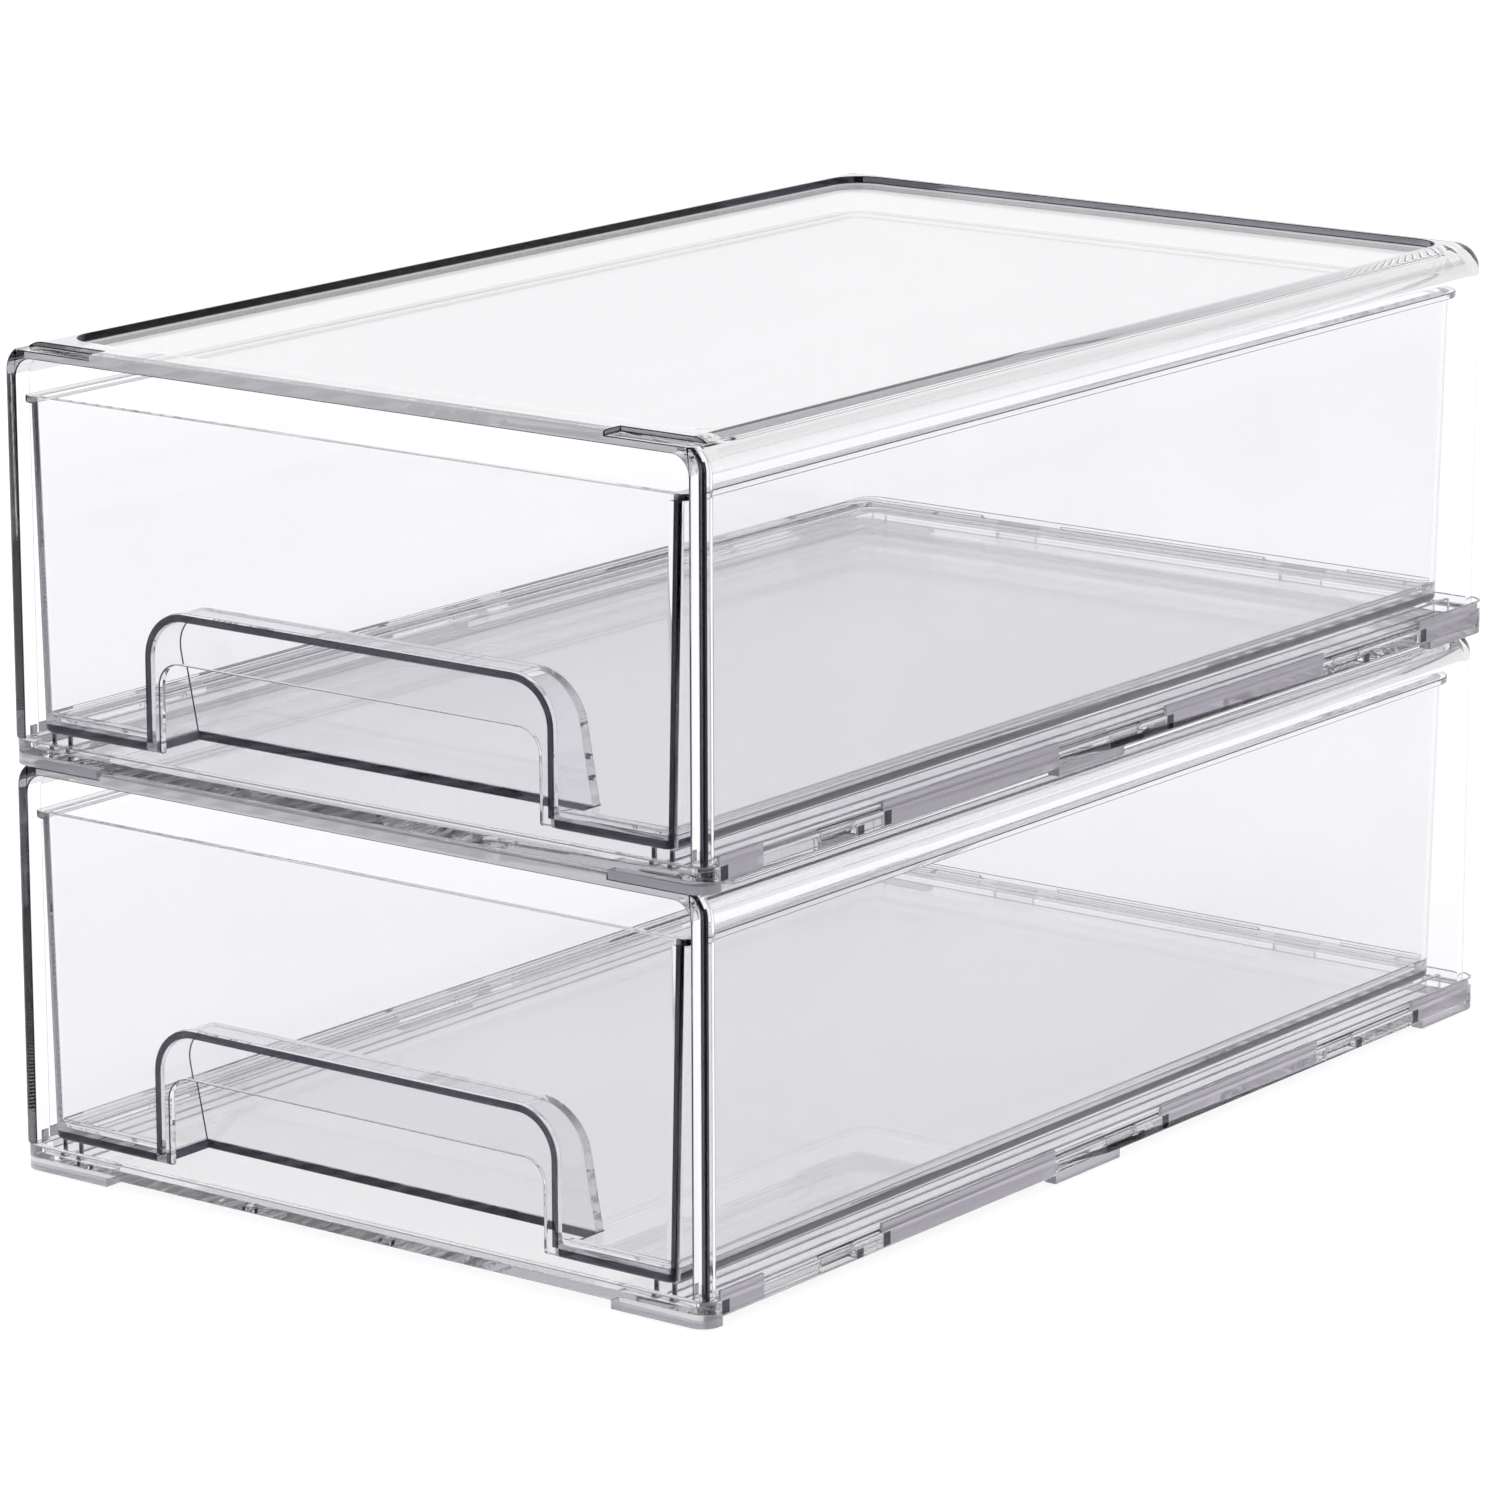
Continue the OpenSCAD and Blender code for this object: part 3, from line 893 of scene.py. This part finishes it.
def pocket(name, at, drawer, inset, near):
    """The finger pocket's outer or inner shape: an arch whose back slopes."""
    low = at.drawer_bottom + (-1 if inset else drawer.floor / 2)
    high = at.drawer_bottom + drawer.pocket_height
    arch = arch_outline(drawer.pocket_half - inset, low, high - inset, drawer.pocket_radius - inset)
    piece = curtain(name, arch, near, at.drawer_front + 60)
    slope = (drawer.pocket_depth - drawer.pocket_top_depth) / drawer.pocket_height
    back = at.drawer_front + drawer.pocket_depth - inset
    near_back = back + slope * 2
    far_back = back - slope * (drawer.pocket_height + 2)
    wide = drawer.pocket_half + 5
    bottom, top = at.drawer_bottom - 2, high + 2
    rings = [
        [(x, near - 2, bottom), (x, near_back, bottom), (x, far_back, top), (x, near - 2, top)]
        for x in (-wide, wide)
    ]
    return share(piece, loft("wedge", rings))


def all_painted_shade(centre, normal):
    """The rule for a solid whose faces are all painted dark, as painted shade."""
    return PAINTED_EDGE_SHADE


def pocket_band(at, drawer):
    """The pocket's wall where it meets the drawer's front: seen end on, it shows as a dark arch,
    painted here as painted shade.
    """
    low = at.drawer_bottom + drawer.floor
    high = at.drawer_bottom + drawer.pocket_height
    deep = at.drawer_front + drawer.wall / 2
    outline = arch_outline(drawer.pocket_half, low, high, drawer.pocket_radius)
    band = curtain("band", outline, at.drawer_front - 0.5, deep, all_painted_shade)
    inner = arch_outline(drawer.pocket_half - drawer.pocket_wall, low - 1, high - drawer.pocket_wall,
                         drawer.pocket_radius - drawer.pocket_wall)
    return cut(band, curtain("inner", inner, at.drawer_front - 1, deep + 1, all_painted_shade))


def front_bands(at, drawer):
    """The side walls and the floor where they meet the drawer's front, seen end on, painted dark as
    painted shade.
    """
    deep = at.drawer_front + drawer.wall / 2
    near = at.drawer_front - 0.5
    top = at.drawer_top - drawer.rim_thickness
    bands = []
    for side in (-1, 1):
        low_x = drawer_half(at, drawer, at.drawer_bottom)
        high_x = drawer_half(at, drawer, top)
        outline = [
            (side * (low_x - drawer.wall + 0.8), at.drawer_bottom - 1),
            (side * (low_x + 2), at.drawer_bottom - 1),
            (side * (high_x + 2), top),
            (side * (high_x - drawer.wall + 0.8), top),
        ]
        bands.append(curtain("side band", outline, near, deep, all_painted_shade))
        x0, x1 = sorted((side * drawer.pocket_half, side * (low_x + 2)))
        bands.append(block("floor band", (x0, near, at.drawer_bottom - 1),
                           (x1, deep, at.drawer_bottom + drawer.floor), all_painted_shade))
    return bands


def inlay_painted_shade(piece, shape):
    """Splits off the part of a piece inside a shape and gives all of it the dark edge slot, as painted
    shade.
    """
    keep = shape.data.copy()
    inner = piece.copy()
    inner.data = piece.data.copy()
    bpy.context.scene.collection.objects.link(inner)
    for polygon in inner.data.polygons:
        polygon.material_index = PAINTED_EDGE_SHADE
    mask = bpy.data.objects.new("mask", keep)
    bpy.context.scene.collection.objects.link(mask)
    share(inner, mask)
    cut(piece, shape)
    return join(piece, inner)


def paint_low_shade(piece, at, drawer):
    """Paints the band as tall as the floor dark, outside and at the pocket's back, as painted shade."""
    work = bmesh.new()
    work.from_mesh(piece.data)
    level = at.drawer_bottom + drawer.floor
    bmesh.ops.bisect_plane(work, geom=work.faces[:] + work.edges[:] + work.verts[:],
                           plane_co=(0, 0, level), plane_no=(0, 0, 1), dist=ON_PLANE)
    front = at.drawer_front + drawer.wall + 0.1
    for f in work.faces:
        centre = f.calc_center_median()
        if centre.z < level and abs(f.normal.z) < 0.99 and centre.y > front:
            f.material_index = PAINTED_EDGE_SHADE
    work.to_mesh(piece.data)
    work.free()


def rim_rule(at, drawer):
    """Painted shade: the rim's two ends at the front are painted dark, as the rim seen through its
    length looks.
    """
    def rule(centre, normal):
        return PAINTED_EDGE_SHADE if normal.y < -0.5 and abs(centre.x) > at.rim_half - drawer.rim else FACE
    return rule


def make_drawer(at, house, drawer):
    """The tray with its turned-out rim and the recessed finger pull."""
    piece = tray("drawer", at, house, drawer, 0, at.drawer_bottom,
                 at.drawer_top - drawer.rim_thickness / 2, drawer.bottom_round)
    plan = plan_outline(at.rim_half, at.rim_half - house.taper, at.drawer_front, at.drawer_back,
                        drawer.front_radius, drawer.back_radius + drawer.rim)
    join(piece, slab("rim", plan, at.drawer_top - drawer.rim_thickness, at.drawer_top,
                     rim_rule(at, drawer)))
    cut(piece, tray("inside", at, house, drawer, drawer.wall, at.drawer_bottom + drawer.floor,
                    at.drawer_top + 1, drawer.inner_round))
    join(piece, pocket("pocket", at, drawer, 0, at.drawer_front + drawer.wall / 2))
    cut(piece, pocket("hollow", at, drawer, drawer.pocket_wall, at.drawer_front + drawer.wall))
    window = arch_outline(drawer.pocket_half - drawer.lip_leg, at.drawer_bottom - 1,
                          at.drawer_bottom + drawer.pocket_height - drawer.lip, drawer.window_radius)
    cut(piece, curtain("window", window, at.drawer_front - 1, at.drawer_front + drawer.wall + 0.5))
    # Painted shade: the low band, the pocket's front arch and the side and floor bands at the front are
    # painted dark
    paint_low_shade(piece, at, drawer)
    inlay_painted_shade(piece, pocket_band(at, drawer))
    for band in front_bands(at, drawer):
        inlay_painted_shade(piece, band)
    return piece


def soften(piece, at):
    """Takes the painted shade off a drawer's rim along its front and inner edges, which hardly show."""
    for polygon in piece.data.polygons:
        at_rim = polygon.center.z > at.drawer_top - 3
        outside = abs(polygon.center.x) > at.rim_half - 3.5
        if at_rim and not outside and polygon.material_index == PAINTED_EDGE_SHADE:
            polygon.material_index = FACE


def place(piece, part, radius):
    """Finishes a piece, makes its copy for the other tier, and sets both on their bodies."""
    merge_flats(piece)
    # The roundings get painted shade: dark edge lines, on the base the grey of the lugs
    round_edges(piece, radius, SHADE if part == "base" else PAINTED_EDGE_SHADE)
    if part == "drawer":
        soften(piece, frame_sizes())
    smooth_normals(piece)
    bodies = {"base": "{}_tier", "housing": "{}_tier", "drawer": "{}_drawer"}
    for tier in TIERS:
        rise = frame_sizes().pitch if tier == "upper" else 0.0
        name = f"{tier}_{part}_moulding"
        copy = bpy.data.objects.new(name, piece.data.copy())
        copy.data.name = name
        bpy.context.scene.collection.objects.link(copy)
        to_metres(copy, rise)
        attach(copy, bodies[part].format(tier))
        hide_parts(f"{tier}_{part}")
    bpy.data.objects.remove(piece)


class PieceOperator:
    """Shared reading of the sizes."""

    def read(self, context):
        scene = context.scene
        at = frame_sizes()
        house, base, drawer = (in_mm(g) for g in (scene.bin_housing, scene.bin_base, scene.bin_drawer))
        at.lug_pitch = house.tongue_pitch
        return at, house, base, drawer, scene.bin_finish.edge_round / MM


class BIN_OT_bases(PieceOperator, bpy.types.Operator):
    """Builds both footed bases"""

    bl_idname = "fridge_bin.bases"
    bl_label = "Bases"

    def execute(self, context):
        at, house, base, _, radius = self.read(context)
        place(make_base(at, house, base), "base", radius)
        return {"FINISHED"}


class BIN_OT_housings(PieceOperator, bpy.types.Operator):
    """Builds both housings"""

    bl_idname = "fridge_bin.housings"
    bl_label = "Housings"

    def execute(self, context):
        at, house, base, _, radius = self.read(context)
        place(make_housing(at, house, base), "housing", radius)
        return {"FINISHED"}


class BIN_OT_drawers(PieceOperator, bpy.types.Operator):
    """Builds both drawers"""

    bl_idname = "fridge_bin.drawers"
    bl_label = "Drawers"

    def execute(self, context):
        at, house, _, drawer, radius = self.read(context)
        place(make_drawer(at, house, drawer), "drawer", radius)
        return {"FINISHED"}


class BIN_OT_stage(bpy.types.Operator):
    """Sets the pale floor, the soft studio light and the camera"""

    bl_idname = "fridge_bin.stage"
    bl_label = "Stage"

    def execute(self, context):
        scene = context.scene
        bpy.ops.mesh.primitive_plane_add(size=FLOOR_SIZE, location=(0, 0, -FLOOR_DROP))
        floor = bpy.context.object
        floor.name = "floor"
        paint = bpy.data.materials.new("pale floor")
        paint.use_nodes = True
        shader = paint.node_tree.nodes["Principled BSDF"]
        shader.inputs["Base Color"].default_value = (FLOOR_GREY, FLOOR_GREY, FLOOR_GREY, 1)
        shader.inputs["Emission Color"].default_value = (1, 1, 1, 1)
        shader.inputs["Emission Strength"].default_value = FLOOR_GLOW
        floor.data.materials.append(paint)
        world = bpy.data.worlds.new("studio")
        scene.world = world
        world.use_nodes = True
        light = world.node_tree.nodes["Background"]
        light.inputs[0].default_value = (1, 1, 1, 1)
        light.inputs[1].default_value = STUDIO_LIGHT
        azimuth, elevation = math.radians(CAMERA_AZIMUTH), math.radians(CAMERA_ELEVATION)
        roll = math.radians(CAMERA_ROLL)
        forward = -Vector((math.sin(azimuth) * math.cos(elevation),
                           -math.cos(azimuth) * math.cos(elevation), math.sin(elevation)))
        camera = bpy.data.cameras.new("camera")
        holder = bpy.data.objects.new("camera", camera)
        scene.collection.objects.link(holder)
        holder.location = Vector(CAMERA_TARGET) - forward * CAMERA_DISTANCE
        turn = forward.to_track_quat("-Z", "Y").to_matrix() @ Matrix.Rotation(roll, 3, "Z")
        holder.rotation_euler = turn.to_euler()
        camera.lens = CAMERA_LENS
        camera.sensor_width = CAMERA_SENSOR
        scene.camera = holder
        scene.view_settings.view_transform = "Standard"
        scene.cycles.max_bounces = BOUNCES
        scene.cycles.transmission_bounces = BOUNCES
        scene.cycles.glossy_bounces = BOUNCES
        return {"FINISHED"}


class BIN_PT_panel(bpy.types.Panel):
    """Sidebar panel that lists the steps"""

    bl_idname = "BIN_PT_panel"
    bl_label = "Fridge bin"
    bl_space_type = "VIEW_3D"
    bl_region_type = "UI"
    bl_category = "Fridge bin"

    def draw(self, context):
        for step in STEPS:
            self.layout.operator(step.bl_idname)


STEPS = (BIN_OT_materials, BIN_OT_bases, BIN_OT_housings, BIN_OT_drawers, BIN_OT_stage)
GROUPS = {
    "bin_housing": HousingSizes,
    "bin_base": BaseSizes,
    "bin_drawer": DrawerSizes,
    "bin_finish": Finish,
}


def register():
    for kind in (*GROUPS.values(), *STEPS, BIN_PT_panel):
        bpy.utils.register_class(kind)
    for name, kind in GROUPS.items():
        setattr(bpy.types.Scene, name, bpy.props.PointerProperty(type=kind))


def unregister():
    for name in GROUPS:
        delattr(bpy.types.Scene, name)
    for kind in reversed((*GROUPS.values(), *STEPS, BIN_PT_panel)):
        bpy.utils.unregister_class(kind)


def main():
    """Builds everything in order."""
    register()
    for step in STEPS:
        group, name = step.bl_idname.split(".")
        getattr(getattr(bpy.ops, group), name)()


if __name__ == "__main__":
    main()
